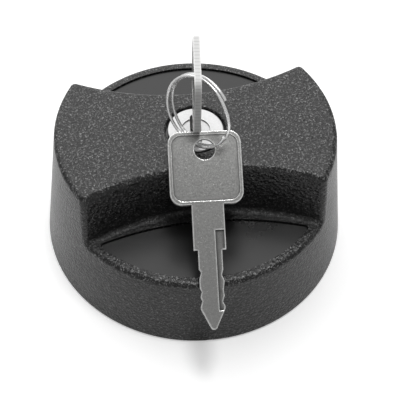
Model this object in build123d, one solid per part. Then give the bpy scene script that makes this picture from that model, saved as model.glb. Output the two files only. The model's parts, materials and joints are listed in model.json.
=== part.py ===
from build123d import *
import os
from math import asin, atan2, cos, degrees, hypot, pi, radians, sin, sqrt, tan

# Locking fuel filler cap with its lock, a key in the lock and a spare key on a split ring.
# Units are millimetres. The origin lies on the cap's axis in the plane the skirt stands on,
# +Z is up, the grip bar runs along X and the key ring hangs towards -Y.

# Cuts run this far past the faces that they open.
overrun = 1.0
# Faces this close count as the same face when an edge is picked.
touch = 0.02

# Drum and grip bar of the outer shell
cap_height = 40.0
skirt_radius = 42.5
top_radius = 38.0
wall = 2.6
land_height = 24.0
ledge_thickness = 2.4
grip_half_width = 13.2
grip_arc_radius = 71.8
grip_wall_draft = 9.0
edge_radius = 1.5
foot_radius = 1.5
rim_edge_radius = 0.6
lock_hole_gap = 0.5
lock_hole_edge = 0.5
boss_wall = 2.0
web_thickness = 1.6
skirt_rib_count = 18
skirt_rib_depth = 1.1
skirt_rib_width = 1.4
skirt_rib_margin = 1.5

# Smooth panel that shows in both finger recesses
lens_margin = 2.9
lens_rear_margin = 1.87
lens_rear_radius = 86.0
lens_tip_radius = 0.7
lens_sink = 0.6
window_gap = 0.25
panel_thickness = 2.0
panel_edge_gap = 0.5
panel_screw_washer_gap = 2.9
panel_screw_side_inset = 5.2
panel_screw_radius = 1.2
panel_screw_length = 12.0
panel_screw_head_radius = 2.4
panel_screw_head_height = 1.3
screw_boss_wall = 1.7
screw_boss_spare = 1.5
drive_width = 0.7
drive_depth = 0.6
drive_reach_share = 0.7
screw_dome_share = 0.6
hole_clearance = 0.15

# Lock housing and what holds it
housing_wall = 3.6
housing_clearance = 0.1
housing_top_gap = 0.2
housing_floor_gap = 0.4
housing_flange_width = 3.1
housing_flange_thickness = 1.6
chamber_gap = 0.4
chamber_top_gap = 0.15
channel_depth = 2.0
channel_gap = 0.3
groove_depth = 0.8
groove_width = 1.0
groove_rise = 0.7
clip_play = 0.05
housing_clip_width = 1.5
clip_opening = 5.0
keeper_thickness = 1.3
keeper_gap = 0.3
slip_washer_overhang = 4.0
slip_washer_thickness = 1.6

# Lock plug
plug_radius = 6.2
plug_clearance = 0.1
plug_face_sink = 0.2
plug_head_overhang = 1.4
plug_head_gap = 0.3
plug_edge = 0.4
plug_floor_gap = 0.3
plug_groove_rise = 0.5
plug_groove_depth = 1.0
plug_groove_width = 0.6
plug_clip_width = 0.8
plug_clip_opening = 4.0
dish_radius = 3.9
dish_depth = 0.35
face_slot_end_gap = 1.35
face_slot_side_gap = 0.6
keyway_clearance = 0.2
key_insertion = 3.59
key_tip_floor = 2.88
drive_pin_offset = 3.0
drive_pin_radius = 1.0
drive_pin_rest = -45.0
key_rest_turn = -4.9

# Wafers of the lock
wafer_count = 5
first_wafer_rise = 6.2
last_wafer_drop = 3.5
wafer_thickness = 1.0
wafer_play = 0.1
wafer_inset = 0.15
wafer_wing_margin = 1.2
wafer_wing_length = 1.5
wafer_wing_height = 1.0
spring_travel = 3.6
spring_strip = 0.2
spring_folds = 6
spring_pocket_gap = 0.2

# Bolt that ties the cover to the core when the lock is open
bolt_rise = 1.0
bolt_height = 2.4
bolt_width = 6.0
bolt_nose_width = 3.2
bolt_back_margin = 1.9
bolt_shoulder_margin = 3.2
bolt_play = 0.15
bolt_pin_play = 0.3
bolt_travel = 4.2
bolt_rest_gap = 0.2
bolt_nose_edge = 0.4

# Core that seals and holds on the filler neck
core_bore_clearance = 0.1
core_top_gap = 0.3
core_flange_gap = 1.8
core_flange_thickness = 3.5
core_edge_radius = 0.6
hub_wall = 1.7
hub_gap = 0.3
notch_count = 12
notch_clearance = 0.3
notch_end_gap = 0.4
spigot_radius = 23.4
spigot_wall = 3.8
spigot_bottom = 3.2
core_rib_count = 12
core_rib_width = 1.4
core_pocket_depth = 1.7
core_pocket_margin = 1.2
vent_radius = 0.9
gasket_width = 7.5
gasket_thickness = 3.0
gasket_fit = 0.1
gasket_lip = 0.6
gasket_groove_width = 2.2

# Steel bayonet plate
plate_thickness = 1.6
plate_lip = 3.1
wing_reach = 5.1
wing_half_angle = 24.0
wing_corner_radius = 1.5
wing_chamfer = 0.7
plate_screw_radius = 1.0
plate_screw_length = 6.5
plate_screw_head_radius = 1.8
plate_screw_head_height = 1.1
plate_screw_count = 4

# Air valve in the core
carrier_clearance = 0.3
carrier_thickness = 2.2
dome_wall = 1.55
dome_rise = 1.4
dome_roof = 0.9
oring_wire_radius = 0.6
oring_gap = 0.05
cup_radius = 7.0
cup_wall = 0.6
cup_depth = 5.0
cup_hole_radius = 0.8
cup_hole_circle = 4.6
cup_hole_count = 6
valve_port_radius = 2.6
valve_stem_radius = 1.5
valve_disc_gap = 0.8
valve_disc_thickness = 1.0
seal_thickness = 0.7
seal_inset = 0.4
seat_gap = 0.1
spring_radius = 3.2
spring_wire = 0.45
spring_turns = 2.5

# Flat keys
key_thickness = 1.8
bow_half_width = 9.55
bow_above_hole = 4.77
bow_below_hole = 14.49
bow_corner_radius = 3.1
bow_border = 0.9
bow_border_depth = 0.2
key_hole_radius = 2.7
key_hole_edge = 0.3
shank_half_width = 4.18
shank_length = 11.9
blade_half_width = 3.13
tip_half_width = 0.75
tip_rise = 0.4
key_groove_inner = 1.57
key_groove_rim = 0.25
key_groove_depth = 0.55
key_groove_start = 6.8
key_groove_end = 4.7
# Each pair holds the distance from the blade's shoulder as a share of its length,
# and the depth of the cut as a share of its half width.
left_bitting_shares = ((0.24, 0.0), (0.281, 0.16), (0.36, 0.0), (0.48, 0.0), (0.521, 0.135),
                       (0.59, 0.02), (0.64, 0.15), (0.715, -0.016))
right_bitting_shares = ((0.25, 0.0), (0.318, 0.135), (0.396, -0.06), (0.508, 0.06),
                        (0.58, 0.0), (0.655, 0.167), (0.715, -0.016))
taper_share = 0.742

# Places of the split ring and the spare key, which lies over the grip's crest and the rim
ring_mean_radius = 9.885
ring_wire_radius = 0.35
ring_layer_gap = 0.1
ring_drop = 1.18
ring_lead = 0.5
ring_slope_angle = 66.4
ring_heading_angle = 2.03
ring_roll_angle = 48.37
crossover_angle = 60.0
crossover_steps = 6
spare_hole_side = 0.78
spare_hole_lead = 1.94
spare_hole_rise = 0.31
spare_key_rest_gap = 1.1
spare_heading_angle = -2.8

STAND = (Align.CENTER, Align.CENTER, Align.MIN)

# Shell and panel sizes that follow from the values above
drum_slope = (skirt_radius - top_radius) / cap_height
wall_inset = wall * hypot(1, drum_slope)
grip_taper = tan(radians(grip_wall_draft))
ledge_bottom = land_height - ledge_thickness
roof_bottom = cap_height - wall
panel_bottom = ledge_bottom - panel_thickness
land_radius = skirt_radius - drum_slope * land_height
lens_radius = land_radius - lens_margin
lens_rear = grip_half_width + (cap_height - land_height) * grip_taper + foot_radius + lens_rear_margin
panel_screw_y = grip_half_width - panel_screw_side_inset

# Core and valve heights, from the spigot's foot upwards
core_top = panel_bottom - slip_washer_thickness - core_top_gap
flange_bottom = core_top - core_flange_thickness
core_flange_radius = skirt_radius - drum_slope * core_top - wall_inset - skirt_rib_depth - core_flange_gap
spigot_bore = spigot_radius - spigot_wall
screw_circle = spigot_radius - spigot_wall / 2
plate_bottom = spigot_bottom - plate_thickness
plate_bore_radius = spigot_bore - plate_lip
wing_radius = spigot_radius + wing_reach
gasket_radius = spigot_radius + gasket_fit + gasket_width
carrier_radius = spigot_bore - carrier_clearance
dome_radius = cup_radius + clip_play + dome_wall
dome_top = spigot_bottom + carrier_thickness + dome_rise
seat_z = dome_top - dome_roof
cup_bottom = seat_z - cup_depth
cup_floor = cup_bottom + cup_wall
seal_top = seat_z - seat_gap
disc_top = seal_top - seal_thickness
disc_bottom = disc_top - valve_disc_thickness
valve_disc_radius = cup_radius - cup_wall - valve_disc_gap

# Lock sizes, from the plug outwards and from the housing's foot upwards
plug_head_radius = plug_radius + plug_head_overhang
lock_hole_radius = plug_head_radius + lock_hole_gap
plug_clip_radius = plug_radius + plug_clip_width
chamber_radius = plug_clip_radius + chamber_gap
channel_radius = plug_radius + channel_depth
wafer_width = 2 * (plug_radius - wafer_wing_margin - wafer_wing_length)
channel_width = wafer_width + 2 * channel_gap
housing_radius = plug_radius + plug_clearance + housing_wall
housing_flange_radius = housing_radius + housing_flange_width
housing_clip_radius = housing_radius + housing_clip_width
boss_radius = housing_radius + housing_clearance + boss_wall
boss_bottom = ledge_bottom + housing_flange_thickness
core_bore = housing_radius + core_bore_clearance
nose_end = housing_radius - bolt_rest_gap
notch_reach = nose_end + bolt_travel + notch_end_gap
hub_radius = notch_reach + hub_wall
slip_washer_radius = hub_radius + slip_washer_overhang
panel_screw_circle = slip_washer_radius + panel_screw_head_radius + panel_screw_washer_gap
panel_screw_x = sqrt(panel_screw_circle ** 2 - panel_screw_y ** 2)
bolt_back = chamber_radius - bolt_back_margin
bolt_shoulder = chamber_radius - bolt_shoulder_margin
housing_bottom = dome_top + housing_floor_gap
housing_top = roof_bottom - housing_top_gap
housing_clip_z = housing_bottom + groove_rise
hub_bottom = housing_clip_z + groove_width + hub_gap
bolt_z = hub_bottom + bolt_rise
plug_bottom = bolt_z + bolt_height + plug_floor_gap
plug_groove_z = plug_bottom + plug_groove_rise
chamber_top = plug_groove_z + plug_groove_width + chamber_top_gap
plug_head_bottom = housing_top + plug_head_gap
plug_face = cap_height - plug_face_sink

# Key and wafer places, from the plug's face downwards
blade_top = plug_face - key_insertion
blade_length = blade_top - plug_bottom - key_tip_floor
lock_key_hole_z = blade_top + shank_length + bow_below_hole
key_length_below_hole = bow_below_hole + shank_length + blade_length
face_slot_length = 2 * (shank_half_width + face_slot_end_gap)
face_slot_width = key_thickness + 2 * face_slot_side_gap
key_groove_outer = shank_half_width - key_groove_rim
first_wafer_z = blade_top - blade_length + first_wafer_rise
wafer_pitch = (blade_top - last_wafer_drop - first_wafer_z) / (wafer_count - 1)


def post(radius, bottom, top, x=0, y=0):
    """Upright cylinder between two heights."""
    return Pos(x, y, bottom) * Cylinder(radius, top - bottom, align=STAND)


def ring(outer, inner, bottom, top):
    """Upright ring between two heights."""
    return post(outer, bottom, top) - post(inner, bottom - overrun, top + overrun)


def block(x0, x1, half_width, bottom, top):
    """Box from x0 to x1, centred on the X axis, between two heights."""
    centre = Pos((x0 + x1) / 2, 0, bottom)
    return centre * Box(x1 - x0, 2 * half_width, top - bottom, align=STAND)


def around(shape, count, start=0.0):
    """Copies of a shape, evenly turned about the Z axis."""
    return [Rot(0, 0, start + 360 * i / count) * shape for i in range(count)]


def outer_radius(z):
    return skirt_radius - drum_slope * z


def drum(inset, bottom, top):
    """Slice of the drafted drum, with its wall moved in by the inset."""
    low = outer_radius(bottom) - inset
    high = outer_radius(top) - inset
    return Pos(0, 0, bottom) * Cone(low, high, top - bottom, align=STAND)


def recess(side, growth, floor, foot):
    """Space behind one concave side of the grip: a wide drafted disc with a rounded foot."""
    arc = grip_arc_radius + growth * hypot(1, grip_taper)
    low = arc - (cap_height - floor) * grip_taper
    high = arc + overrun * grip_taper
    disc = Pos(0, 0, floor) * Cone(low, high, cap_height + overrun - floor, align=STAND)
    if foot:
        disc = fillet(disc.edges().sort_by(Axis.Z)[0], foot)
    return Pos(0, side * (grip_half_width + grip_arc_radius), 0) * disc


def lens(side, growth, bottom, top):
    """Lens between the rim and a shallow arc along the foot of the grip."""
    rim = post(lens_radius + growth, bottom, top)
    rear_y = side * (lens_rear + lens_rear_radius)
    rear = post(lens_rear_radius + growth, bottom, top, 0, rear_y)
    shape = rim & rear
    tips = shape.edges().filter_by(Axis.Z).filter_by(lambda e: abs(e.center().X) > lens_rear)
    return fillet(tips, lens_tip_radius + growth)


def screw_places():
    return [(sx * panel_screw_x, sy * panel_screw_y) for sx in (-1, 1) for sy in (-1, 1)]


def is_outline(edge):
    """True for the edges round the grip's top and the rims of the finger recesses."""
    middle = edge @ 0.5
    if edge.geom_type == GeomType.LINE or middle.Z < touch:
        return False
    on_drum = abs(hypot(middle.X, middle.Y) - outer_radius(middle.Z)) < touch
    return on_drum or middle.Z > cap_height - touch


def cap_shell():
    """Moulded cover: drum, hollow grip bar, ledges with windows, boss, webs and ribs."""
    shell = drum(0, 0, cap_height)
    for side in (-1, 1):
        shell -= recess(side, 0, land_height, foot_radius)
    shell = fillet(shell.edges().filter_by(is_outline), edge_radius)
    shell = fillet(shell.edges().sort_by(Axis.Z)[0], rim_edge_radius)

    hollow = drum(wall_inset, 0, roof_bottom)
    hollow += post(skirt_radius - wall_inset, -overrun, 0)
    for side in (-1, 1):
        hollow -= recess(side, wall, ledge_bottom, 0)
    inside = drum(wall_inset - touch, ledge_bottom, roof_bottom + touch)
    webs = post(boss_radius, boss_bottom, roof_bottom + touch)
    boss_top = ledge_bottom + panel_screw_length + screw_boss_spare
    for x, y in screw_places():
        webs += post(panel_screw_radius + screw_boss_wall, ledge_bottom, boss_top, x, y)
    webs += Pos(0, 0, boss_bottom) * Box(2 * top_radius, web_thickness, roof_bottom - boss_bottom,
                                         align=STAND)
    for side in (-1, 1):
        webs += Pos(side * panel_screw_x, 0, boss_bottom) * Box(
            web_thickness, 2 * lens_rear, roof_bottom - boss_bottom, align=STAND)
    hollow -= webs & inside
    shell -= hollow

    rib_bottom = skirt_rib_margin
    rib_top = panel_bottom - panel_edge_gap
    rib_zone = drum(wall_inset - touch, rib_bottom, rib_top)
    rib_zone -= drum(wall_inset + skirt_rib_depth, rib_bottom - overrun, rib_top + overrun)
    rib = block(top_radius / 2, skirt_radius, skirt_rib_width / 2, rib_bottom, rib_top)
    for bar in around(rib, skirt_rib_count, 90 / skirt_rib_count):
        shell += bar & rib_zone

    for side in (-1, 1):
        shell -= lens(side, window_gap, ledge_bottom - overrun, land_height + overrun)
    for x, y in screw_places():
        pilot_top = ledge_bottom + panel_screw_length + screw_boss_spare / 2
        shell -= post(panel_screw_radius + touch, ledge_bottom - overrun, pilot_top, x, y)
    shell -= post(housing_radius + housing_clearance, ledge_bottom, roof_bottom)
    shell -= post(lock_hole_radius, roof_bottom - overrun, cap_height + overrun)
    rim = shell.edges().filter_by(GeomType.CIRCLE).filter_by(
        lambda e: abs(e.radius - lock_hole_radius) < touch and e.center().Z > cap_height - touch)
    return fillet(rim, lock_hole_edge)


def recess_panel():
    """Smooth inner panel: a disc with two raised lens pads that stand in the shell's windows."""
    disc_radius = outer_radius(ledge_bottom) - wall_inset - panel_edge_gap
    panel = post(disc_radius, panel_bottom, ledge_bottom)
    pad_top = land_height - lens_sink
    for side in (-1, 1):
        panel += lens(side, 0, panel_bottom, pad_top)
    for side in (-1, 1):
        core = post(lens_radius - 2 * panel_thickness, panel_bottom - overrun,
                    pad_top - panel_thickness)
        core &= post(lens_rear_radius - panel_thickness, panel_bottom - overrun,
                     pad_top - panel_thickness, 0, side * (lens_rear + lens_rear_radius))
        panel -= core
    panel -= post(housing_radius + hole_clearance, panel_bottom - overrun, ledge_bottom + overrun)
    for x, y in screw_places():
        panel -= post(panel_screw_radius + hole_clearance, panel_bottom - overrun,
                      ledge_bottom + overrun, x, y)
    return panel


def cross_drive(radius, bottom, depth):
    """Cross-shaped screwdriver recess in the lower face of a screw head."""
    bar = Box(2 * radius * drive_reach_share, drive_width, depth + overrun, align=STAND)
    return Pos(0, 0, bottom - overrun) * (bar + Rot(0, 0, 90) * bar)


def pan_screw(shank, length, head, head_height, seat):
    """Screw driven upwards, its domed head below the seat."""
    screw = post(head, seat - head_height, seat)
    screw = fillet(screw.edges().sort_by(Axis.Z)[0], head_height * screw_dome_share)
    screw += post(shank, seat, seat + length)
    screw = chamfer(screw.edges().sort_by(Axis.Z)[-1], shank / 2)
    return screw - cross_drive(head, seat - head_height, drive_depth)


def panel_screws():
    screw = pan_screw(panel_screw_radius, panel_screw_length, panel_screw_head_radius,
                      panel_screw_head_height, panel_bottom)
    return [Pos(x, y, 0) * screw for x, y in screw_places()]


def lock_housing():
    """Zinc sleeve with its flange, wafer channels, bolt slot and clip groove."""
    body = post(housing_radius, housing_bottom, housing_top)
    body += post(housing_flange_radius, ledge_bottom, boss_bottom)
    body -= post(plug_radius + plug_clearance, housing_bottom - overrun, housing_top + overrun)
    body -= post(chamber_radius, housing_bottom - overrun, chamber_top)
    channel_bottom = first_wafer_z - wafer_thickness
    channel_top = first_wafer_z + (wafer_count - 1) * wafer_pitch + wafer_thickness
    channel = Box(channel_width, 2 * channel_radius, channel_top - channel_bottom, align=STAND)
    body -= Rot(0, 0, key_rest_turn) * Pos(0, 0, channel_bottom) * channel
    body -= block(0, housing_radius + overrun, bolt_nose_width / 2 + bolt_play,
                  bolt_z - bolt_play, bolt_z + bolt_height + bolt_play)
    body -= ring(housing_radius + overrun, housing_radius - groove_depth,
                 housing_clip_z, housing_clip_z + groove_width)
    return body


def bolt_keeper():
    """Pressed disc that closes the bolt chamber from below."""
    top = bolt_z - keeper_gap
    return post(chamber_radius - clip_play, top - keeper_thickness, top)


def open_clip(outer, inner, bottom, top, opening):
    """Retaining ring with a gap towards -X and rounded ends."""
    clip = ring(outer, inner, bottom, top)
    clip -= block(-outer - overrun, 0, opening / 2, bottom - overrun, top + overrun)
    ends = clip.edges().filter_by(Axis.Z).filter_by(lambda e: e.center().X < -inner / 2)
    return fillet(ends, (outer - inner) / 3)


def housing_clip():
    return open_clip(housing_clip_radius, housing_radius - groove_depth + clip_play,
                     housing_clip_z + clip_play, housing_clip_z + groove_width - clip_play,
                     clip_opening)


def slip_washer():
    return ring(slip_washer_radius, housing_radius + hole_clearance,
                panel_bottom - slip_washer_thickness, panel_bottom)


def wafer_heights():
    return [first_wafer_z + i * wafer_pitch for i in range(wafer_count)]


def keyway(half_length, half_width, bottom, top):
    """Upright slot for the key, long along Y."""
    return Pos(0, 0, bottom) * Box(2 * half_width, 2 * half_length, top - bottom, align=STAND)


def widest_blade():
    return blade_half_width * (1 - min(cut for _, cut in right_bitting_shares))


def lock_plug():
    """Zinc plug: satin face with a dish and key slot, slotted barrel and eccentric drive pin."""
    head = post(plug_head_radius, plug_head_bottom, plug_face)
    head = fillet(head.edges().sort_by(Axis.Z)[-1], plug_edge)
    head -= post(dish_radius, plug_face - dish_depth, plug_face + overrun)
    plug = head + post(plug_radius, plug_bottom, plug_head_bottom)
    pocket_bottom = blade_top - keyway_clearance
    slot = SlotOverall(face_slot_length, face_slot_width)
    pocket = extrude(Pos(0, 0, pocket_bottom) * Rot(0, 0, 90) * slot,
                     plug_face + overrun - pocket_bottom)
    plug -= pocket
    plug -= keyway(widest_blade() + keyway_clearance, key_thickness / 2 + keyway_clearance,
                   blade_top - blade_length - keyway_clearance, pocket_bottom)
    half_slot = wafer_thickness / 2 + wafer_play
    spring_edge = wafer_width / 2 + wafer_wing_length + spring_pocket_gap
    for z in wafer_heights():
        plug -= Pos(0, 0, z - half_slot) * Box(wafer_width + 2 * wafer_play, 2 * plug_radius,
                                               2 * half_slot, align=STAND)
        plug -= block(0, spring_edge, spring_travel / 2 + wafer_wing_height,
                      z - half_slot, z + half_slot)
    plug -= ring(plug_radius + overrun, plug_radius - plug_groove_depth,
                 plug_groove_z, plug_groove_z + plug_groove_width)
    plug = Rot(0, 0, key_rest_turn) * plug
    pin_turn = radians(90 - drive_pin_rest)
    return plug + post(drive_pin_radius, bolt_z + bolt_play, plug_bottom,
                       drive_pin_offset * cos(pin_turn), drive_pin_offset * sin(pin_turn))


def plug_clip():
    return open_clip(plug_clip_radius, plug_radius - plug_groove_depth + clip_play,
                     plug_groove_z + clip_play, plug_groove_z + plug_groove_width - clip_play,
                     plug_clip_opening)


def left_cut(z):
    """Depth of the left blade edge at a height, from the bitting."""
    share = (blade_top - z) / blade_length
    points = left_bitting_shares
    for (a, cut_a), (b, cut_b) in zip(points, points[1:]):
        if a <= share <= b:
            return blade_half_width * (cut_a + (cut_b - cut_a) * (share - a) / (b - a))
    return 0


def shallowest_cut(z):
    """Least depth of that edge within the thickness of a wafer at a height."""
    return min(left_cut(z - wafer_thickness / 2), left_cut(z), left_cut(z + wafer_thickness / 2))


def wafer(z):
    """Flat tumbler with the key window, a wing for its spring and ends on the barrel's arc."""
    reach = plug_radius - wafer_inset
    plate = Box(wafer_width, 2 * reach, wafer_thickness)
    plate &= Cylinder(reach, wafer_thickness)
    wing_x = wafer_width / 2 + wafer_wing_length / 2
    wing_y = spring_travel / 2
    plate += Pos(wing_x, wing_y, 0) * Box(wafer_wing_length, wafer_wing_height, wafer_thickness)
    window_end = blade_half_width - shallowest_cut(z) + wafer_play
    window_length = 2 * (widest_blade() + wafer_play)
    window = Box(key_thickness + 2 * wafer_play, window_length, wafer_thickness + overrun)
    plate -= Pos(0, window_end - window_length / 2, 0) * window
    return Rot(0, 0, key_rest_turn) * Pos(0, 0, z) * plate


def wafer_springs():
    """Folded strip springs, one beside each wafer, pressing on its wing."""
    left = wafer_width / 2 + 2 * wafer_play + spring_strip
    right = wafer_width / 2 + wafer_wing_length - spring_strip
    bottom = -spring_travel / 2
    top = spring_travel / 2 - wafer_wing_height / 2 - spring_strip
    step = (top - bottom) / spring_folds
    route = [(left if i % 2 else right, bottom + i * step) for i in range(spring_folds + 1)]
    strip = trace(Polyline(*route), spring_strip)
    height = wafer_thickness - spring_strip
    spring = extrude(strip, height)
    return [Rot(0, 0, key_rest_turn) * Pos(0, 0, z - height / 2) * spring for z in wafer_heights()]


def lock_bolt():
    """Sliding bolt: a block with a cross slot for the drive pin and a narrower nose."""
    top = bolt_z + bolt_height
    bolt = block(-bolt_back, bolt_shoulder - bolt_travel, bolt_width / 2, bolt_z, top)
    bolt += block(0, nose_end, bolt_nose_width / 2, bolt_z, top)
    nose = bolt.edges().filter_by(Axis.Z).sort_by(Axis.X)[-2:]
    bolt = chamfer(nose, bolt_nose_edge)
    swing = drive_pin_offset * cos(radians(drive_pin_rest))
    pin_x = drive_pin_offset * sin(radians(drive_pin_rest))
    half = drive_pin_radius + bolt_pin_play
    slot = Pos(pin_x, 0, bolt_z - overrun) * Box(
        2 * half, 2 * (drive_pin_offset + half), bolt_height + 2 * overrun, align=STAND)
    slot &= Pos(pin_x, swing - half, bolt_z - overrun) * Box(
        2 * half, 2 * bolt_width, bolt_height + 2 * overrun,
        align=(Align.CENTER, Align.MIN, Align.MIN))
    return bolt - slot


def core_body():
    """Moulded core: notched hub, ribbed sealing flange and threadless spigot."""
    core = post(hub_radius, hub_bottom, core_top)
    flange = post(core_flange_radius, flange_bottom, core_top)
    core += fillet(flange.edges().filter_by(GeomType.CIRCLE), core_edge_radius)
    core += ring(spigot_radius, spigot_bore, spigot_bottom, flange_bottom)
    rib = block(hub_radius - touch, spigot_bore + touch, core_rib_width / 2, hub_bottom,
                flange_bottom)
    for bar in around(rib, core_rib_count):
        core += bar
    pocket = ring(core_flange_radius - core_pocket_margin, spigot_radius + core_pocket_margin,
                  core_top - core_pocket_depth, core_top + overrun)
    spoke = block(hub_radius, core_flange_radius, core_rib_width / 2,
                  core_top - core_pocket_depth - overrun, core_top + 2 * overrun)
    for bar in around(spoke, core_rib_count):
        pocket -= bar
    core -= pocket
    core -= post(core_bore, hub_bottom - overrun, core_top + overrun)
    notch = block(core_bore - overrun, notch_reach, bolt_nose_width / 2 + notch_clearance,
                  bolt_z - notch_clearance, bolt_z + bolt_height + notch_clearance)
    for cut in around(notch, notch_count):
        core -= cut
    vent_circle = (hub_radius + spigot_bore) / 2
    vent = post(vent_radius, flange_bottom - overrun, core_top + overrun, vent_circle)
    for cut in around(vent, plate_screw_count, 180 / core_rib_count):
        core -= cut
    pilot = post(plate_screw_radius + touch, spigot_bottom - overrun,
                 plate_bottom + plate_screw_length + overrun, screw_circle)
    for cut in around(pilot, plate_screw_count, 180 / plate_screw_count):
        core -= cut
    return core


def neck_gasket():
    """Flat rubber ring with a groove between two sealing lips."""
    bottom = flange_bottom - gasket_thickness
    inner = spigot_radius + gasket_fit
    gasket = ring(gasket_radius, inner, bottom, flange_bottom)
    gasket = chamfer(gasket.edges().group_by(Axis.Z)[0], gasket_lip)
    middle = (gasket_radius + inner) / 2
    half = gasket_groove_width / 2
    return gasket - ring(middle + half, middle - half, bottom - overrun, bottom + gasket_lip)


def bayonet_plate():
    """Steel ring with two rounded wings that pass and lock under the neck's lips."""
    plate = ring(spigot_radius, plate_bore_radius, plate_bottom, spigot_bottom)
    wing_zone = ring(wing_radius, screw_circle, plate_bottom, spigot_bottom)
    reach = 2 * wing_radius
    spread = reach * tan(radians(wing_half_angle))
    wedge = extrude(Pos(0, 0, plate_bottom) * make_face(
        Polyline((0, 0), (spread, reach), (-spread, reach), close=True)), plate_thickness)
    wing = wing_zone & wedge
    corners = wing.edges().filter_by(Axis.Z).filter_by(
        lambda e: hypot(e.center().X, e.center().Y) > wing_radius - touch)
    wing = fillet(corners, wing_corner_radius)
    lead = wing.edges().group_by(Axis.Z)[-1].filter_by(
        lambda e: hypot(e.center().X, e.center().Y) > spigot_radius + touch)
    wing = chamfer(lead, wing_chamfer)
    plate += wing + Rot(0, 0, 180) * wing
    hole = post(plate_screw_radius + hole_clearance, plate_bottom - overrun,
                spigot_bottom + overrun, screw_circle)
    for cut in around(hole, plate_screw_count, 180 / plate_screw_count):
        plate -= cut
    return plate


def plate_screws():
    screw = Pos(screw_circle, 0, 0) * pan_screw(
        plate_screw_radius, plate_screw_length, plate_screw_head_radius,
        plate_screw_head_height, plate_bottom)
    return around(screw, plate_screw_count, 180 / plate_screw_count)


def oring_height():
    return spigot_bottom + carrier_thickness / 2


def valve_carrier():
    """Disc inside the spigot that carries the air valve under a small dome."""
    top = spigot_bottom + carrier_thickness
    carrier = post(carrier_radius, spigot_bottom, top) + post(dome_radius, top, dome_top)
    carrier = fillet(carrier.edges().sort_by(Axis.Z)[-1], dome_roof / 2)
    carrier -= post(cup_radius + clip_play, spigot_bottom - overrun, seat_z)
    carrier -= post(valve_port_radius, spigot_bottom - overrun, dome_top + overrun)
    half = oring_wire_radius + oring_gap
    depth = spigot_bore - oring_gap - 2 * oring_wire_radius - oring_gap
    return carrier - ring(spigot_bore, depth, oring_height() - half, oring_height() + half)


def carrier_oring():
    centre = spigot_bore - oring_gap - oring_wire_radius
    return Pos(0, 0, oring_height()) * Torus(centre, oring_wire_radius)


def valve_cup():
    """Perforated cup under the valve that its spring stands in."""
    cup = ring(cup_radius, cup_radius - cup_wall, cup_bottom, seat_z)
    cup += post(cup_radius, cup_bottom, cup_floor)
    cup = fillet(cup.edges().sort_by(Axis.Z)[0], cup_wall / 2)
    hole = post(cup_hole_radius, cup_bottom - overrun, cup_floor + overrun, cup_hole_circle)
    for cut in around(hole, cup_hole_count):
        cup -= cut
    return cup


def valve_disc():
    disc = post(valve_disc_radius, disc_bottom, disc_top)
    return disc + post(valve_stem_radius, disc_top, dome_top)


def valve_seal():
    return ring(valve_disc_radius - seal_inset, valve_stem_radius + clip_play, disc_top, seal_top)


def valve_spring():
    """Low square-wire coil between the cup's floor and the valve disc."""
    low = cup_floor + spring_wire
    rise = disc_bottom - spring_wire - low
    path = Pos(0, 0, low) * Helix(rise / spring_turns, rise, spring_radius)
    section = Plane(origin=path @ 0, z_dir=path % 0) * Rectangle(spring_wire, spring_wire)
    return sweep(section, path=path, is_frenet=True)


def key_outline():
    """Flat key seen from its face: origin in the hole, bow up, blade down."""
    bow_top = bow_above_hole
    bow = Pos(0, (bow_top - bow_below_hole) / 2) * RectangleRounded(
        2 * bow_half_width, bow_top + bow_below_hole, bow_corner_radius)
    shank_end = -bow_below_hole - shank_length
    shank = Pos(0, (shank_end - bow_below_hole) / 2 + overrun / 2) * Rectangle(
        2 * shank_half_width, shank_length + overrun)
    tip_y = shank_end - blade_length
    taper_y = shank_end - taper_share * blade_length
    left = [(-blade_half_width * (1 - cut), shank_end - share * blade_length)
            for share, cut in left_bitting_shares]
    right = [(blade_half_width * (1 - cut), shank_end - share * blade_length)
             for share, cut in right_bitting_shares]
    side = Polyline((blade_half_width, shank_end + overrun), (-blade_half_width, shank_end + overrun),
                    *left, (-blade_half_width, taper_y), (-tip_half_width, tip_y + tip_rise))
    tip = ThreePointArc(side @ 1, (0, tip_y), (tip_half_width, tip_y + tip_rise))
    back = Polyline(tip @ 1, (blade_half_width, taper_y), *reversed(right), side @ 0)
    blade = make_face(side + tip + back)
    return bow + shank + blade


def flat_key():
    """Stamped key with a coined border round the bow and a milled groove on each face."""
    key = extrude(key_outline(), key_thickness / 2, both=True)
    field = Pos(0, (bow_above_hole - bow_below_hole) / 2) * RectangleRounded(
        2 * (bow_half_width - bow_border), bow_above_hole + bow_below_hole - 2 * bow_border,
        bow_corner_radius - bow_border / 2)
    groove_top = -bow_below_hole - key_groove_start
    groove_bottom = key_groove_end - key_length_below_hole
    groove = Pos((key_groove_inner + key_groove_outer) / 2, (groove_top + groove_bottom) / 2) * (
        Rectangle(key_groove_outer - key_groove_inner, groove_top - groove_bottom))
    face = key_thickness / 2
    for turn in (0, 180):
        cut = Pos(0, 0, face - bow_border_depth) * extrude(field, overrun)
        cut += Pos(0, 0, face - key_groove_depth) * extrude(groove, overrun)
        key -= Rot(0, turn, 0) * cut
    hole = Cylinder(key_hole_radius, key_thickness + 2 * overrun)
    flare = Pos(0, 0, face - key_hole_edge) * Cone(
        key_hole_radius, key_hole_radius + key_hole_edge + overrun, key_hole_edge + overrun,
        align=STAND)
    return key - hole - flare - Rot(0, 180, 0) * flare


def heading(slope, turn):
    """Unit vector towards the viewer's side, sloping down, turned about Z."""
    flat = cos(radians(slope))
    return Vector(flat * sin(radians(turn)), -flat * cos(radians(turn)), -sin(radians(slope)))


def lock_key_plane():
    """Key plane in the lock: X across towards the front, Y up, Z along the plate's normal."""
    front = heading(0, key_rest_turn)
    return Plane(origin=(0, 0, lock_key_hole_z), x_dir=front, z_dir=front.cross(Vector(0, 0, 1)))


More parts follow.
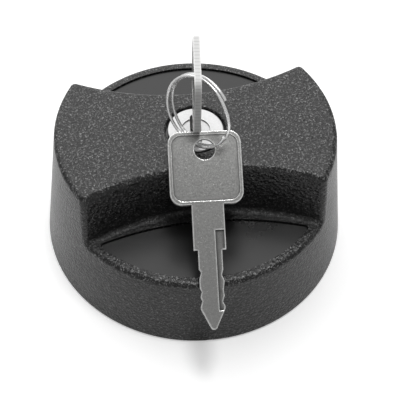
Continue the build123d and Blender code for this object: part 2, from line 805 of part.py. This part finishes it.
def ring_start():
    """Where the split ring passes the hole of the key in the lock."""
    return lock_key_plane().origin + heading(0, key_rest_turn) * ring_lead - Vector(0, 0, ring_drop)


def ring_plane():
    """Ring plane: origin at its centre, X from the lock key's hole to the spare key's hole."""
    along = heading(ring_slope_angle, ring_heading_angle)
    level = along.cross(Vector(0, 0, 1)).normalized() * -1
    tangent = level.rotate(Axis((0, 0, 0), tuple(along)), ring_roll_angle)
    centre = ring_start() + along * ring_mean_radius
    return Plane(origin=centre, x_dir=along, z_dir=along.cross(tangent))


def lying_slope(hole, edge_y, edge_z):
    """Slope at which the key, hung from its hole, lies over a rounded edge with its centre there."""
    lift = edge_radius + spare_key_rest_gap + key_thickness / 2
    drop = hole.Z - edge_z
    out = hole.Y - edge_y
    return degrees(atan2(drop, out) - asin(lift / hypot(out, drop)))


def spare_key_plane():
    """Spare key's plane: origin in its hole, Y up the key, Z along the plate's normal."""
    hole = ring_start() + heading(ring_slope_angle, ring_heading_angle) * (2 * ring_mean_radius)
    hole += Vector(spare_hole_side, -spare_hole_lead, spare_hole_rise)
    rim_z = land_height - edge_radius
    rim_y = edge_radius * hypot(1, drum_slope) - outer_radius(rim_z)
    crest_z = cap_height - edge_radius
    crest_arc = grip_arc_radius - edge_radius * grip_taper + edge_radius * hypot(1, grip_taper)
    crest_y = sqrt(crest_arc ** 2 - bow_half_width ** 2) - grip_half_width - grip_arc_radius
    slope = min(lying_slope(hole, rim_y, rim_z), lying_slope(hole, crest_y, crest_z))
    down = heading(slope, spare_heading_angle)
    across = down.cross(Vector(0, 0, 1)).normalized() * -1
    return Plane(origin=hole, x_dir=across, z_dir=across.cross(down * -1))


def lock_key():
    return lock_key_plane() * flat_key()


def spare_key():
    return spare_key_plane() * flat_key()


def key_ring():
    """Split ring of two turns of round wire, joined by one smooth crossover."""
    layer = ring_wire_radius + ring_layer_gap / 2
    sweep_angle = 360 - crossover_angle
    first = 90 + crossover_angle / 2

    def section(angle, z):
        frame = Rot(0, 0, angle) * Pos(ring_mean_radius, 0, z) * Rot(90, 0, 0)
        return frame * Circle(ring_wire_radius)

    low = revolve(section(first, -layer), Axis.Z, sweep_angle)
    high = revolve(section(first, layer), Axis.Z, sweep_angle)
    steps = [i / crossover_steps for i in range(crossover_steps + 1)]
    rises = [(t, layer * (1 - cos(pi * t)) - layer) for t in steps]
    cross = loft([section(first + sweep_angle + crossover_angle * t, z) for t, z in rises])
    return ring_plane() * (low + cross + high)


def write(name, shape):
    """One file for each node; a list of solids goes into one file."""
    if isinstance(shape, list):
        shape = Compound(children=[part.solid() for part in shape])
    export_step(shape, "parts/" + name + ".step")


PIECES = {
    "cap_shell": cap_shell,
    "recess_panel": recess_panel,
    "panel_screws": panel_screws,
    "lock_housing": lock_housing,
    "bolt_keeper": bolt_keeper,
    "housing_clip": housing_clip,
    "slip_washer": slip_washer,
    "lock_plug": lock_plug,
    "plug_clip": plug_clip,
    "wafer_springs": wafer_springs,
    "lock_key": lock_key,
    "key_ring": key_ring,
    "spare_key": spare_key,
    "lock_bolt": lock_bolt,
    "core_body": core_body,
    "neck_gasket": neck_gasket,
    "bayonet_plate": bayonet_plate,
    "plate_screws": plate_screws,
    "valve_carrier": valve_carrier,
    "carrier_oring": carrier_oring,
    "valve_cup": valve_cup,
    "valve_spring": valve_spring,
    "valve_disc": valve_disc,
    "valve_seal": valve_seal,
}

os.makedirs("parts", exist_ok=True)
for piece_name, make in PIECES.items():
    write(piece_name, make())
for number, wafer_z in enumerate(wafer_heights(), 1):
    write("wafer_" + str(number), wafer(wafer_z))
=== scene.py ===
import json
from math import cos, pi, radians, sin

import bpy
from mathutils import Matrix, Vector


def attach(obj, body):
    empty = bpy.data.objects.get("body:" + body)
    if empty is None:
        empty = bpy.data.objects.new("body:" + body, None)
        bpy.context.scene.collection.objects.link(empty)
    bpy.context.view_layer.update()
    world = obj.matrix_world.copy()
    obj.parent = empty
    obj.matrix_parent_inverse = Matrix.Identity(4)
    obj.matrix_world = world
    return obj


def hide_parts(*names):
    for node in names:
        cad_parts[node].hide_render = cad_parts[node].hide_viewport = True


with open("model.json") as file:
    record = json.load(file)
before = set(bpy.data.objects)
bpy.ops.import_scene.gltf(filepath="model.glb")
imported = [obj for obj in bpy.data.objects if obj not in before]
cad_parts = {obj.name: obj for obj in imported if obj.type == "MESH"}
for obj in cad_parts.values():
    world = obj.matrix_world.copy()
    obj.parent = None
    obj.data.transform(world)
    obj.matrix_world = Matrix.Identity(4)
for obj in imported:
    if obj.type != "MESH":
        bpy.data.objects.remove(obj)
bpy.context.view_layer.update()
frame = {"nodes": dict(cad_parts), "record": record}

# Lengths are in metres and angles in degrees
MM = 0.001

# The camera, in the cap's own frame
camera_target = Vector((0.7, -6.8, 17.0)) * MM
camera_distance = 335.7 * MM
camera_nearest = 10 * MM
camera_elevation = 53.29
camera_heading = 7.97
camera_roll = 1.5
camera_lens = 107.6

# The split ring, in the plane that both key holes give it. Each turn lies one layer off that plane, and
# a parting more opposite the crossover, where the wire goes from the one turn to the other.
ring_centre = Vector((0.0975, -4.4531, 52.3618)) * MM
ring_along = Vector((0.014181, -0.400098, -0.916363))
ring_normal = Vector((-0.725417, -0.634851, 0.265959))
ring_mean_radius = 9.885 * MM
ring_wire_radius = 0.42 * MM
ring_layer = 0.6 * MM
ring_parting = 0.45 * MM
full_turn = 360
crossover_place = 90
crossover_angle = 60
ring_step_angle = 3

# The flat keys' planes: across the plate, and a slant in its plane that meets every side of the rim
lock_plate_normal = (-0.996345, 0.085417, 0.0)
lock_rim_slant = (0.085417, 0.996345, 1.0)
spare_plate_normal = (-0.022767, -0.465514, 0.884747)
spare_rim_slant = (1.042026, 0.834841, 0.466071)

# The white floor, the light it gives off and the share of that light that reflections see
floor_radius = 130 * MM
floor_corners = 96
floor_drop = 0.05 * MM
floor_colour = 0.86
floor_roughness = 0.9
floor_gloss = 0.2
floor_lift = 0.37
floor_shine = 0.4

# The round soft lamp, nearly straight over the cap
lamp_place = (0.07, -0.01, 0.7)
lamp_size = 0.15
lamp_power = 1.4

# The sky's light: one bright patch high behind the cap, a dimmer roof and dimmer sides, dark elsewhere.
# Each grows from its edge to its full value, as cosines from its middle, and reflections see the
# sky's shine at least.
sky_centre = (-0.16, 0.7, 0.7)
sky_bright = 1.95
sky_dim = 0.03
sky_edge = 0.5
sky_full = 0.97
roof_bright = 0.45
roof_edge = 0.6
roof_full = 0.95
side_bright = 0.5
side_edge = 0.5
side_full = 0.95
sky_shine = 0.5

# Moulded grain: pebbles with bent creases and finer grain on them, and painted glints on their domes, a
# highlight put into the colour. A fineness is a share of the pebbles' own.
pebbles_per_metre = 1250.0
crease_softness = 0.3
bend_fineness = 0.6
bend_width = 0.7 * MM
fine_grain_fineness = 1.3
fine_grain_height = 0.7
glint_fineness = 1.9
glint_start = 0.51
glint_steepness = 8.0
glint_dome_power = 1.5

# Worn edges, paler as wear and as a painted highlight, and corners darkened as painted shade: the open share
# of directions below which a place counts as an edge or a corner, how steeply the mask grows from there, and
# the noise that breaks it up
edge_start = 0.9
edge_steepness = 3.0
edge_evenness = 0.4
edge_patches_per_metre = 900.0
corner_start = 0.96
corner_steepness = 4.0
corner_patch_middle = 0.55
corner_patches_per_metre = 700.0

# The keys' sheared rims: cosine to the plate's normal where a face begins, and the cross lines
rim_face_start = 0.3
rim_steepness = 4.0
rim_lines_per_metre = 850.0
rim_line_start = 0.5
rim_line_steepness = 2.0
rim_brightness = 0.64
rim_line_brightness = 0.5
rim_roughness = 0.62
rim_dullness = 0.85

# How far roughness spreads over the film, and what hollows and the keys' faces add or take away
plastic_spread = 0.06
metal_spread = 0.05
hollow_roughness = 0.35
key_face_polish = 0.04

# What all metals share: tool lines, the pale colour of worn edges (wear and a painted highlight), and inside
# corners, darkened as painted shade and made rougher
tool_line_depth = 0.01 * MM
worn_and_highlit_brightness = 0.92
bare_warmth = 0.01
corner_shade_brightness_share = 0.25
dirt_roughness = 0.2

# Most values of a noise lie between these
noise_low = 0.35
noise_high = 0.65


def add_node(tree, kind, settings=None, **inputs):
    """New node. An input is a value or another node's output. It goes by its name, with _ for a space,
    or by n and its number where names repeat."""
    node = tree.nodes.new(kind)
    for key, value in (settings or {}).items():
        setattr(node, key, value)
    for key, value in inputs.items():
        name = key.replace("_", " ")
        numbered = name[0] == "n" and name[1:].isdigit()
        socket = node.inputs[int(name[1:]) if numbered else name]
        if isinstance(value, bpy.types.NodeSocket):
            tree.links.new(value, socket)
        else:
            socket.default_value = value
    return node


def calculate(tree, operation, a, b=0.0, clamp=False):
    node = add_node(tree, "ShaderNodeMath", {"operation": operation, "use_clamp": clamp}, n0=a, n1=b)
    return node.outputs[0]


def plus(tree, a, b):
    return calculate(tree, "ADD", a, b)


def minus(tree, a, b):
    return calculate(tree, "SUBTRACT", a, b)


def times(tree, a, b, clamp=False):
    return calculate(tree, "MULTIPLY", a, b, clamp)


def excess(tree, value, other, steepness):
    """How far one value is over another, steepened and kept between 0 and 1."""
    return times(tree, minus(tree, value, other), steepness, True)


def calculate_vector(tree, operation, a, output="Vector", **inputs):
    node = add_node(tree, "ShaderNodeVectorMath", {"operation": operation}, n0=a, **inputs)
    return node.outputs[output]


def dot_product(tree, a, b):
    return calculate_vector(tree, "DOT_PRODUCT", a, "Value", n1=b)


def own_place(tree):
    return add_node(tree, "ShaderNodeTexCoord").outputs["Object"]


def noise(tree, place, scale, detail, **inputs):
    return add_node(tree, "ShaderNodeTexNoise", Vector=place, Scale=scale, Detail=detail, **inputs).outputs


def ramp(tree, value, low, high, start=0.0, end=1.0, shape="LINEAR"):
    """Value between low and high as the input goes from start to end."""
    node = add_node(tree, "ShaderNodeMapRange", {"clamp": True, "interpolation_type": shape}, Value=value,
                    From_Min=start, From_Max=end, To_Min=low, To_Max=high)
    return node.outputs["Result"]


def blend_colours(tree, value, low, high):
    return add_node(tree, "ShaderNodeMix", {"data_type": "RGBA"}, n0=value, n6=low, n7=high).outputs[2]


def bump(tree, height, strength, depth, **inputs):
    node = add_node(tree, "ShaderNodeBump", Strength=strength, Distance=depth, Height=height, **inputs)
    return node.outputs[0]


def grey(value, warm=0.0):
    return (value, value, value * (1 - warm), 1.0)


def new_group(name, inputs, outputs):
    """Empty shader group; an input with a tuple as its default is a vector, all else are numbers."""
    tree = bpy.data.node_groups.new(name, "ShaderNodeTree")
    for label, default in inputs:
        kind = "NodeSocketVector" if isinstance(default, tuple) else "NodeSocketFloat"
        socket = tree.interface.new_socket(name=label, in_out="INPUT", socket_type=kind)
        socket.default_value = default
    for label in outputs:
        tree.interface.new_socket(name=label, in_out="OUTPUT", socket_type="NodeSocketFloat")
    return tree, tree.nodes.new("NodeGroupInput").outputs, tree.nodes.new("NodeGroupOutput").inputs


def use_group(tree, group, **inputs):
    return add_node(tree, "ShaderNodeGroup", {"node_tree": group}, **inputs).outputs


def grain_and_painted_glint_group():
    """Fine moulded grain: rounded pebbles with creases between them, as a height, and painted glints on
    their domes.
    """
    tree, given, result = new_group("moulded_grain_and_painted_glints",
                                    [("Pebbles per metre", pebbles_per_metre), ("Glint", 0.5)],
                                    ["Height", "Glints"])
    place = own_place(tree)
    size = given["Pebbles per metre"]
    bend = noise(tree, place, times(tree, size, bend_fineness), detail=2.0)["Color"]
    shift = calculate_vector(tree, "SCALE", bend, Scale=bend_width)
    bent = calculate_vector(tree, "ADD", place, n1=shift)
    cells = add_node(tree, "ShaderNodeTexVoronoi", {"feature": "SMOOTH_F1"}, Vector=bent, Scale=size,
                     Smoothness=crease_softness)
    fine = noise(tree, place, times(tree, size, fine_grain_fineness), detail=2.0, Roughness=0.5)["Fac"]
    domes = minus(tree, 1.0, cells.outputs["Distance"])
    tree.links.new(plus(tree, domes, times(tree, fine, fine_grain_height)), result["Height"])
    # Painted glints: bright spots on the pebbles' domes, put into the colour as a highlight
    spots = noise(tree, bent, times(tree, size, glint_fineness), detail=1.0, Roughness=0.5,
                  Distortion=0.6)["Fac"]
    peaks = excess(tree, spots, glint_start, glint_steepness)
    painted_glints = times(tree, peaks, calculate(tree, "POWER", domes, glint_dome_power, True))
    tree.links.new(times(tree, painted_glints, given["Glint"], True), result["Glints"])
    return tree


def edge_group():
    """Convex edges, for wear and a painted highlight: where the piece is thin behind the surface, broken up
    by noise.
    """
    tree, given, result = new_group("worn_and_highlit_edges", [("Reach", 0.4 * MM), ("Amount", 1.0)], ["Mask"])
    behind = add_node(tree, "ShaderNodeAmbientOcclusion", {"inside": True, "only_local": True, "samples": 8},
                      Distance=given["Reach"]).outputs["AO"]
    patches = noise(tree, own_place(tree), edge_patches_per_metre, detail=3.0)["Fac"]
    near = excess(tree, edge_start, behind, edge_steepness)
    broken = times(tree, near, plus(tree, patches, edge_evenness))
    tree.links.new(times(tree, broken, given["Amount"], True), result["Mask"])
    return tree


def corner_group():
    """Grooves and inside corners, broken up by noise as far as the patchiness says."""
    tree, given, result = new_group("inside_corners",
                                    [("Reach", 1.0 * MM), ("Amount", 1.0), ("Patchiness", 1.0)], ["Mask"])
    before = add_node(tree, "ShaderNodeAmbientOcclusion", {"only_local": True, "samples": 8},
                      Distance=given["Reach"]).outputs["AO"]
    patches = noise(tree, own_place(tree), corner_patches_per_metre, detail=3.0)["Fac"]
    near = excess(tree, corner_start, before, corner_steepness)
    patches = times(tree, given["Patchiness"], minus(tree, patches, corner_patch_middle))
    broken = times(tree, near, plus(tree, patches, 1.0))
    tree.links.new(times(tree, broken, given["Amount"], True), result["Mask"])
    return tree


def film_group():
    """Soft patches of handling film, as a value round one half."""
    tree, given, result = new_group("handling_film", [("Patches per metre", 60.0)], ["Film"])
    patches = noise(tree, own_place(tree), given["Patches per metre"], detail=5.0, Roughness=0.65)["Fac"]
    tree.links.new(patches, result["Film"])
    return tree


def tool_line_group():
    """Fine grain of a metal, as a value, drawn out into tool lines along an axis of lower fineness."""
    tree, given, result = new_group("tool_lines", [("Fineness", (3000.0, 200.0, 200.0))], ["Lines"])
    stretched = calculate_vector(tree, "MULTIPLY", own_place(tree), n1=given["Fineness"])
    tree.links.new(noise(tree, stretched, scale=1.0, detail=3.0)["Fac"], result["Lines"])
    return tree


def rim_group():
    """Sheared rim of a stamped plate and the cross lines on it, told from its two faces by the normal."""
    tree, given, result = new_group(
        "sheared_rim", [("Plate normal", (1.0, 0.0, 0.0)), ("Slant", (0.0, 1.0, 1.0)),
                        ("Lines per metre", rim_lines_per_metre)], ["Rim", "Lines"])
    own = add_node(tree, "ShaderNodeTexCoord").outputs
    flat = calculate(tree, "ABSOLUTE", dot_product(tree, own["Normal"], given["Plate normal"]))
    rim = minus(tree, 1.0, excess(tree, flat, rim_face_start, rim_steepness))
    way = dot_product(tree, own["Object"], given["Slant"])
    turns = times(tree, way, times(tree, given["Lines per metre"], 2 * pi))
    wave = excess(tree, calculate(tree, "SINE", turns), rim_line_start, rim_line_steepness)
    tree.links.new(rim, result["Rim"])
    tree.links.new(times(tree, rim, wave), result["Lines"])
    return tree


GRAIN_AND_GLINTS = grain_and_painted_glint_group()
EDGES = edge_group()
CORNERS = corner_group()
FILM = film_group()
LINES = tool_line_group()
SHEARED_RIM = rim_group()


def film_on(tree, patches_per_metre):
    return use_group(tree, FILM, Patches_per_metre=patches_per_metre)["Film"]


def new_material(name):
    """Material with an empty node tree, and that tree."""
    material = bpy.data.materials.new(name)
    material.use_nodes = True
    material.node_tree.nodes.clear()
    return material, material.node_tree


def surface(tree, **inputs):
    """The material's one shader, joined to its output."""
    shader = add_node(tree, "ShaderNodeBsdfPrincipled", **inputs)
    add_node(tree, "ShaderNodeOutputMaterial", Surface=shader.outputs[0])


def grained_plastic():
    """Black moulded plastic with painted glints in its colour: full where it faces up, as painted light from
    above, less on steep walls, and least in hollows, as painted shade.
    """
    material, tree = new_material("grained_black_plastic")
    grain = use_group(tree, GRAIN_AND_GLINTS, Pebbles_per_metre=pebbles_per_metre, Glint=1.0)
    # Mask of the hollows: it dims the painted glints as painted shade, and adds roughness
    hollow = use_group(tree, CORNERS, Reach=12 * MM, Amount=0.8, Patchiness=0.0)["Mask"]
    own_normal = add_node(tree, "ShaderNodeTexCoord").outputs["Normal"]
    upward = add_node(tree, "ShaderNodeSeparateXYZ", Vector=own_normal).outputs["Z"]
    # Painted glints, dimmed in the hollows as painted shade and on steep walls as painted light from above
    painted_glints = times(tree, grain["Glints"], minus(tree, 1.0, hollow))
    painted_glints = times(tree, painted_glints, ramp(tree, upward, low=0.65, high=1.0, start=0.1, end=0.6))
    rough = ramp(tree, film_on(tree, 45.0), low=0.24, high=0.32, start=noise_low, end=noise_high)
    # Near-black colour with the painted glints in it
    surface(tree, Base_Color=blend_colours(tree, painted_glints, grey(0.005), grey(0.29)), Specular_IOR_Level=0.4,
            Normal=bump(tree, grain["Height"], strength=1.0, depth=0.15 * MM),
            Roughness=plus(tree, rough, times(tree, hollow, hollow_roughness)))
    return material


def smooth_plastic():
    """Smooth satin floor of the finger recesses, with a faint orange peel."""
    material, tree = new_material("smooth_black_plastic")
    film = film_on(tree, 70.0)
    surface(tree, Base_Color=blend_colours(tree, film, grey(0.004), grey(0.016)),
            Roughness=ramp(tree, film, low=0.26, high=0.36, start=noise_low, end=noise_high),
            Normal=bump(tree, film_on(tree, 900.0), strength=0.15, depth=0.05 * MM))
    return material


def plain_plastic(name, low, high, roughness):
    """Plastic of the hidden pieces, between two near colours and a little uneven in gloss."""
    material, tree = new_material(name)
    film = film_on(tree, 160.0)
    surface(tree, Base_Color=blend_colours(tree, film, low, high),
            Roughness=ramp(tree, film, roughness - plastic_spread, roughness + plastic_spread),
            Normal=bump(tree, film_on(tree, 2500.0), strength=0.2, depth=0.04 * MM))
    return material


def rubber():
    """Matt black rubber of the gasket and the seals."""
    material, tree = new_material("gasket_rubber")
    film = film_on(tree, 300.0)
    surface(tree, Base_Color=blend_colours(tree, film, grey(0.012), grey(0.03)),
            Roughness=ramp(tree, film, low=0.6, high=0.8),
            Normal=bump(tree, film, strength=0.25, depth=0.05 * MM))
    return material


def evenly(per_metre):
    """The same fineness along every axis, for metal without drawn-out lines."""
    return (per_metre, per_metre, per_metre)


def metal(name, low, high, roughness, fineness, worn_and_highlit=0.3, corner_shade=0.5, reach=0.3 * MM, corner=1.2 * MM,
          plate=None):
    """Plated or bare metal: fine tool lines, softened edges that are paler as wear and as a painted
    highlight, and inside corners that are darker as painted shade and rougher.
    """
    material, tree = new_material(name)
    lines = use_group(tree, LINES, Fineness=fineness)["Lines"]
    edges = use_group(tree, EDGES, Reach=reach, Amount=worn_and_highlit)["Mask"]
    corners = use_group(tree, CORNERS, Reach=corner, Amount=corner_shade)["Mask"]
    tone = times(tree, plus(tree, lines, film_on(tree, 2500.0)), 0.5)
    share = ramp(tree, tone, low=0.0, high=1.0, start=noise_low, end=noise_high)
    colour = blend_colours(tree, share, low, high)
    if plate:
        colour, height, rough, metallic = sheared_rim(tree, plate, colour, lines, tone, roughness)
    else:
        rough = ramp(tree, tone, roughness - metal_spread, roughness + metal_spread, noise_low, noise_high)
        height, metallic = lines, 1.0
    # Inside corners darkened in the colour: painted shade
    corner_shade_colour = tuple(corner_shade_brightness_share * part for part in low[:3]) + (1.0,)
    colour = blend_colours(tree, corners, colour, corner_shade_colour)
    # Edges paler in the colour: wear, and a painted highlight along them
    colour = blend_colours(tree, edges, colour, grey(worn_and_highlit_brightness, bare_warmth))
    rounded = add_node(tree, "ShaderNodeBevel", {"samples": 4}, Radius=reach / 2).outputs[0]
    surface(tree, Base_Color=colour, Metallic=metallic,
            Normal=bump(tree, height, strength=0.35, depth=tool_line_depth, Normal=rounded),
            Roughness=plus(tree, rough, times(tree, corners, dirt_roughness)))
    return material


def sheared_rim(tree, plate, colour, lines, tone, roughness):
    """The keys' stamped rims: paler, duller and rougher than the faces, with cross lines cut in them."""
    rim = use_group(tree, SHEARED_RIM, Plate_normal=plate[0], Slant=plate[1])
    colour = blend_colours(tree, rim["Rim"], colour, grey(rim_brightness, bare_warmth))
    colour = blend_colours(tree, rim["Lines"], colour, grey(rim_line_brightness, bare_warmth))
    height = minus(tree, lines, rim["Lines"])
    rough = ramp(tree, plus(tree, tone, rim["Rim"]), low=roughness - key_face_polish, high=rim_roughness,
                 start=0.4, end=1.5)
    metallic = minus(tree, 1.0, times(tree, rim["Rim"], rim_dullness))
    return colour, height, rough, metallic


def nickel_key(name, plate):
    """Worn bright nickel, paler along its edges as wear and as a painted highlight, with painted shade in
    its corners.
    """
    return metal(name, grey(0.28, warm=0.02), grey(0.36, warm=0.02), roughness=0.21,
                 fineness=evenly(3000.0), worn_and_highlit=1.0, corner_shade=2.2, reach=0.5 * MM, corner=2.6 * MM, plate=plate)


FINISHES = {
    "grained_black": grained_plastic(),
    "smooth_black": smooth_plastic(),
    "core_plastic": plain_plastic("core_plastic", grey(0.022), grey(0.04), roughness=0.5),
    "natural_plastic": plain_plastic("natural_acetal", (0.62, 0.6, 0.53, 1), (0.7, 0.68, 0.6, 1),
                                     roughness=0.45),
    "satin_zinc": metal("satin_zinc", grey(0.46), grey(0.56), roughness=0.4, fineness=evenly(2200.0),
                        worn_and_highlit=0.5, corner_shade=0.15),
    "zinc": metal("cast_zinc", grey(0.4), grey(0.5), roughness=0.5, fineness=evenly(1500.0)),
    "ring_steel": metal("ring_steel", grey(0.9), grey(0.97), roughness=0.27, fineness=evenly(500.0),
                        worn_and_highlit=0.0, corner_shade=0.1),
    "plate_steel": metal("plate_steel", grey(0.5, warm=0.02), grey(0.62, warm=0.02), roughness=0.34,
                         fineness=(200.0, 2600.0, 200.0)),
    "steel": metal("screw_steel", grey(0.45), grey(0.6), roughness=0.3, fineness=evenly(800.0)),
    "wafer_brass": metal("wafer_brass", (0.6, 0.42, 0.16, 1), (0.72, 0.52, 0.22, 1), roughness=0.34,
                         fineness=(1800.0, 200.0, 200.0)),
    "gasket_rubber": rubber(),
}

KEY_FINISHES = {
    "lock_key": nickel_key("nickel_lock_key", (lock_plate_normal, lock_rim_slant)),
    "spare_key": nickel_key("nickel_spare_key", (spare_plate_normal, spare_rim_slant)),
}


def finish_nodes():
    """Every CAD node gets its own finish or that of its material slot."""
    for part in frame["record"]["subparts"]:
        piece = frame["nodes"][part["node"]]
        finish = KEY_FINISHES.get(part["node"]) or FINISHES[part["material_slot"]]
        piece.data.materials.clear()
        piece.data.materials.append(finish)


def ring_point(angle):
    """Point on the wire's centre line: one turn in front, a crossover, one turn behind."""
    crossover_middle = crossover_place + full_turn
    share = min(max((angle - crossover_middle + crossover_angle / 2) / crossover_angle, 0), 1)
    parted = ring_layer + ring_parting * max(0, -sin(radians(angle))) ** 2
    rise = -cos(pi * share) * parted
    side = ring_normal.cross(ring_along)
    spoke = ring_along * cos(radians(angle)) + side * sin(radians(angle))
    return ring_centre + spoke * ring_mean_radius + ring_normal * rise


def split_ring():
    """Two turns of spring wire, a little parted on the side away from the crossover."""
    data = bpy.data.curves.new("split_ring", "CURVE")
    data.dimensions = "3D"
    data.bevel_depth = ring_wire_radius
    data.bevel_resolution = 5
    data.use_fill_caps = True
    first = crossover_place + crossover_angle // 2
    last = first + 2 * full_turn - crossover_angle
    angles = range(first, last + ring_step_angle, ring_step_angle)
    spline = data.splines.new("POLY")
    spline.points.add(len(angles) - 1)
    for point, angle in zip(spline.points, angles):
        point.co = (*ring_point(angle), 1.0)
    data.materials.append(FINISHES["ring_steel"])
    ring = bpy.data.objects.new("split_ring", data)
    bpy.context.collection.objects.link(ring)
    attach(ring, "ring")
    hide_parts("key_ring")


def direction(elevation, heading):
    """Unit vector from the target towards a camera at this elevation and heading."""
    flat = cos(radians(elevation))
    return Vector((-flat * sin(radians(heading)), -flat * cos(radians(heading)), sin(radians(elevation))))


def photo_camera():
    """Camera that sees the cap as the photograph does."""
    back = direction(camera_elevation, camera_heading)
    right = Vector((0, 0, 1)).cross(back).normalized()
    turned = Matrix.Rotation(radians(camera_roll), 3, back)
    right = turned @ right
    up = back.cross(right)
    data = bpy.data.cameras.new("photo_camera")
    data.lens = camera_lens
    data.clip_start = camera_nearest
    camera = bpy.data.objects.new("photo_camera", data)
    axes = Matrix((right, up, back)).transposed().to_4x4()
    camera.matrix_world = Matrix.Translation(camera_target + back * camera_distance) @ axes
    bpy.context.collection.objects.link(camera)
    bpy.context.scene.camera = camera


def soft_lamp():
    """Round lamp that points at the foot of the cap's axis."""
    data = bpy.data.lights.new("soft_lamp", "AREA")
    data.shape = "DISK"
    data.size = lamp_size
    data.energy = lamp_power
    lamp = bpy.data.objects.new("soft_lamp", data)
    lamp.location = lamp_place
    lamp.rotation_euler = Vector(lamp_place).to_track_quat("Z", "Y").to_euler()
    bpy.context.collection.objects.link(lamp)


def studio_sky():
    """White to the camera; as light it is bright high behind the cap, less so overhead and at the sides."""
    world = bpy.data.worlds.new("studio_sky")
    bpy.context.scene.world = world
    world.use_nodes = True
    tree = world.node_tree
    tree.nodes.clear()
    way = add_node(tree, "ShaderNodeTexCoord").outputs["Generated"]
    along = add_node(tree, "ShaderNodeSeparateXYZ", Vector=way).outputs
    facing = dot_product(tree, way, Vector(sky_centre).normalized())
    patch = ramp(tree, facing, sky_dim, sky_bright, sky_edge, sky_full, "SMOOTHSTEP")
    roof = ramp(tree, along["Z"], 0.0, roof_bright, roof_edge, roof_full, "SMOOTHSTEP")
    sides = ramp(tree, calculate(tree, "ABSOLUTE", along["X"]), 0.0, side_bright, side_edge, side_full,
                 "SMOOTHSTEP")
    rays = add_node(tree, "ShaderNodeLightPath").outputs
    glow = calculate(tree, "MAXIMUM", patch, roof)
    glow = calculate(tree, "MAXIMUM", glow, sides)
    glow = calculate(tree, "MAXIMUM", glow, times(tree, rays["Is Glossy Ray"], sky_shine))
    seen = calculate(tree, "MAXIMUM", rays["Is Camera Ray"], rays["Is Transmission Ray"])
    unseen = times(tree, minus(tree, 1.0, seen), glow)
    light = add_node(tree, "ShaderNodeBackground", Color=grey(1.0), Strength=plus(tree, seen, unseen))
    add_node(tree, "ShaderNodeOutputWorld", Surface=light.outputs[0])


def floor_finish():
    """White that gives off a little light to the camera and is clear from underneath."""
    material, tree = new_material("white_floor")
    rays = add_node(tree, "ShaderNodeLightPath").outputs
    seen = calculate(tree, "MAXIMUM", rays["Is Camera Ray"], times(tree, rays["Is Glossy Ray"], floor_shine))
    seen = calculate(tree, "MAXIMUM", seen, rays["Is Transmission Ray"])
    behind = add_node(tree, "ShaderNodeNewGeometry").outputs["Backfacing"]
    surface(tree, Base_Color=grey(floor_colour), Roughness=floor_roughness, Specular_IOR_Level=floor_gloss,
            Emission_Color=blend_colours(tree, seen, grey(0.0), grey(1.0)), Emission_Strength=floor_lift,
            Alpha=minus(tree, 1.0, behind))
    return material


def white_floor():
    """Round floor that reads white from above and takes the cap's shadow."""
    mesh = bpy.data.meshes.new("floor")
    turns = [radians(full_turn * i / floor_corners) for i in range(floor_corners)]
    mesh.from_pydata([(floor_radius * cos(t), floor_radius * sin(t), 0) for t in turns], [],
                     [range(floor_corners)])
    mesh.materials.append(floor_finish())
    floor = bpy.data.objects.new("floor", mesh)
    floor.location.z = -floor_drop
    bpy.context.collection.objects.link(floor)


finish_nodes()
split_ring()
photo_camera()
soft_lamp()
studio_sky()
white_floor()
bpy.context.scene.view_settings.view_transform = "Standard"
